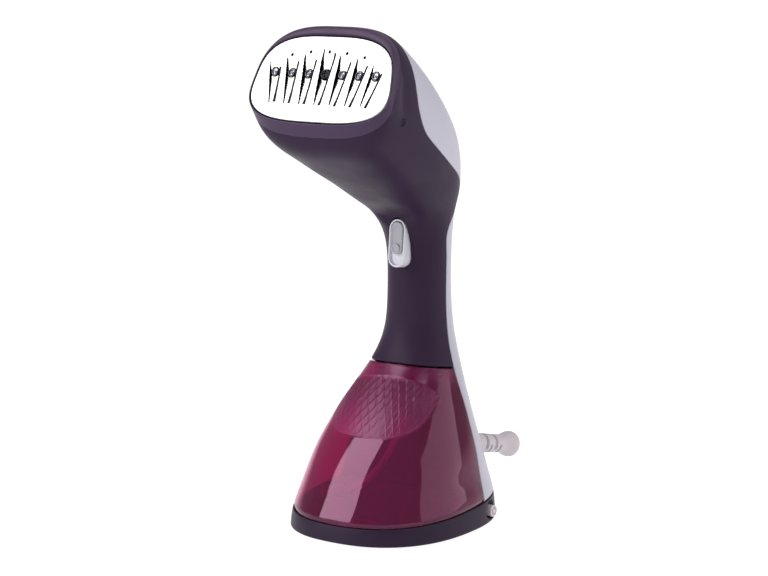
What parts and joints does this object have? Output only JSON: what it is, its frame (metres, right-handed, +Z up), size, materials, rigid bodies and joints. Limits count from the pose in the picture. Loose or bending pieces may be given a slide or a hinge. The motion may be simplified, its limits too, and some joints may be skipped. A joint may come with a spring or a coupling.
{
  "type": "garment steamer",
  "caption": "Upright handheld garment steamer: hammer-shaped head with a steam plate, trigger handle, and a flared water tank on a round base that the body lifts off.",
  "frame": {"origin": "centre of the underside, on the plane that the rubber feet stand on", "axes": "+Z up; the steam plate faces -Y and the cord guard leaves towards +Y; +X is to the right when looking along +Y"},
  "size_m": [0.1082, 0.1665, 0.2903],
  "materials": {
    "shell_dark": "satin moulded plastic",
    "shell_white": "satin moulded plastic",
    "bezel_dark": "satin moulded plastic",
    "inner_dark": "moulded plastic",
    "seal_rubber": "moulded rubber",
    "plate_steel": "polished pressed steel",
    "nozzle_steel": "turned",
    "screw_steel": "zinc plated",
    "spring_steel": "drawn wire",
    "cast_alloy": "die cast",
    "element_sheath": "heat tinted",
    "gasket_silicone": "moulded silicone",
    "shield_board": "heat resistant",
    "ceramic_case": "pressed",
    "inlet_brass": "turned",
    "pump_plastic": "moulded",
    "coil_copper": "wound wire",
    "hose_silicone": "translucent",
    "board_green": "printed board",
    "switch_black": "moulded",
    "trigger_grey": "satin moulded plastic",
    "slider_grey": "satin moulded plastic",
    "guard_pale": "soft moulded",
    "wire_jacket": "insulated",
    "tank_tint": "clear tinted",
    "filter_grey": "sintered",
    "base_dark": "satin moulded plastic",
    "button_pale": "satin moulded plastic"
  },
  "bodies": {
    "water_base": {"water_tank": "tank_tint", "mouth_grommet": "seal_rubber", "dip_tube": "hose_silicone", "intake_filter": "filter_grey", "base_ring": "base_dark", "base_cover": "base_dark", "base_screws": "screw_steel", "rubber_feet": "seal_rubber", "button_spring_left": "spring_steel", "button_spring_right": "spring_steel"},
    "steamer_body": {"front_shell": "shell_dark", "rear_shell": "shell_white", "head_bezel": "bezel_dark", "spine_panel": "inner_dark", "connector_plate": "inner_dark", "connector_seal": "seal_rubber", "steam_plate": "plate_steel", "steam_nozzles": "nozzle_steel", "plate_screw": "screw_steel", "heater_block": "cast_alloy", "heating_element": "element_sheath", "chamber_gasket": "gasket_silicone", "chamber_cover": "cast_alloy", "cover_screws": "screw_steel", "heat_shield": "shield_board", "thermostat": "ceramic_case", "thermal_fuse": "ceramic_case", "steam_inlet": "inlet_brass", "pump_body": "pump_plastic", "pump_coil": "coil_copper", "pump_mounts": "seal_rubber", "inlet_hose": "hose_silicone", "outlet_hose": "hose_silicone", "circuit_board": "board_green", "terminal_block": "pump_plastic", "microswitch": "switch_black", "switch_bracket": "inner_dark", "trigger_pin": "screw_steel", "trigger_spring": "spring_steel", "cord_guard": "guard_pale", "cord_clamp": "inner_dark", "body_screws": "screw_steel", "wiring_loom": "wire_jacket"},
    "trigger": {"trigger": "trigger_grey"},
    "lock_slider": {"lock_slider": "slider_grey"},
    "button_left": {"release_button_left": "button_pale"},
    "button_right": {"release_button_right": "button_pale"}
  },
  "joints": [
    {"name": "body_lift", "type": "slide", "parent": "water_base", "child": "steamer_body", "axis": [0, 0.0755, 0.9971], "range_m": [0, 0.12]},
    {"name": "trigger_press", "type": "hinge", "parent": "steamer_body", "child": "trigger", "pos_m": [0, 0.0125, 0.1755], "axis": [1, 0, 0], "range_deg": [0, 5], "stiffness_Nm_per_rad": 0.3, "springref_deg": -2.86, "deforming": ["trigger_spring"]},
    {"name": "lock_slide", "type": "slide", "parent": "trigger", "child": "lock_slider", "axis": [0, -0.0924, -0.9957], "range_m": [0, 0.006]},
    {"name": "button_left_press", "type": "slide", "parent": "water_base", "child": "button_left", "axis": [1, 0, 0], "range_m": [0, 0.003], "stiffness_N_per_m": 400, "springref_m": -0.003, "deforming": ["button_spring_left"]},
    {"name": "button_right_press", "type": "slide", "parent": "water_base", "child": "button_right", "axis": [-1, 0, 0], "range_m": [0, 0.003], "stiffness_N_per_m": 400, "springref_m": -0.003, "deforming": ["button_spring_right"]}
  ]
}
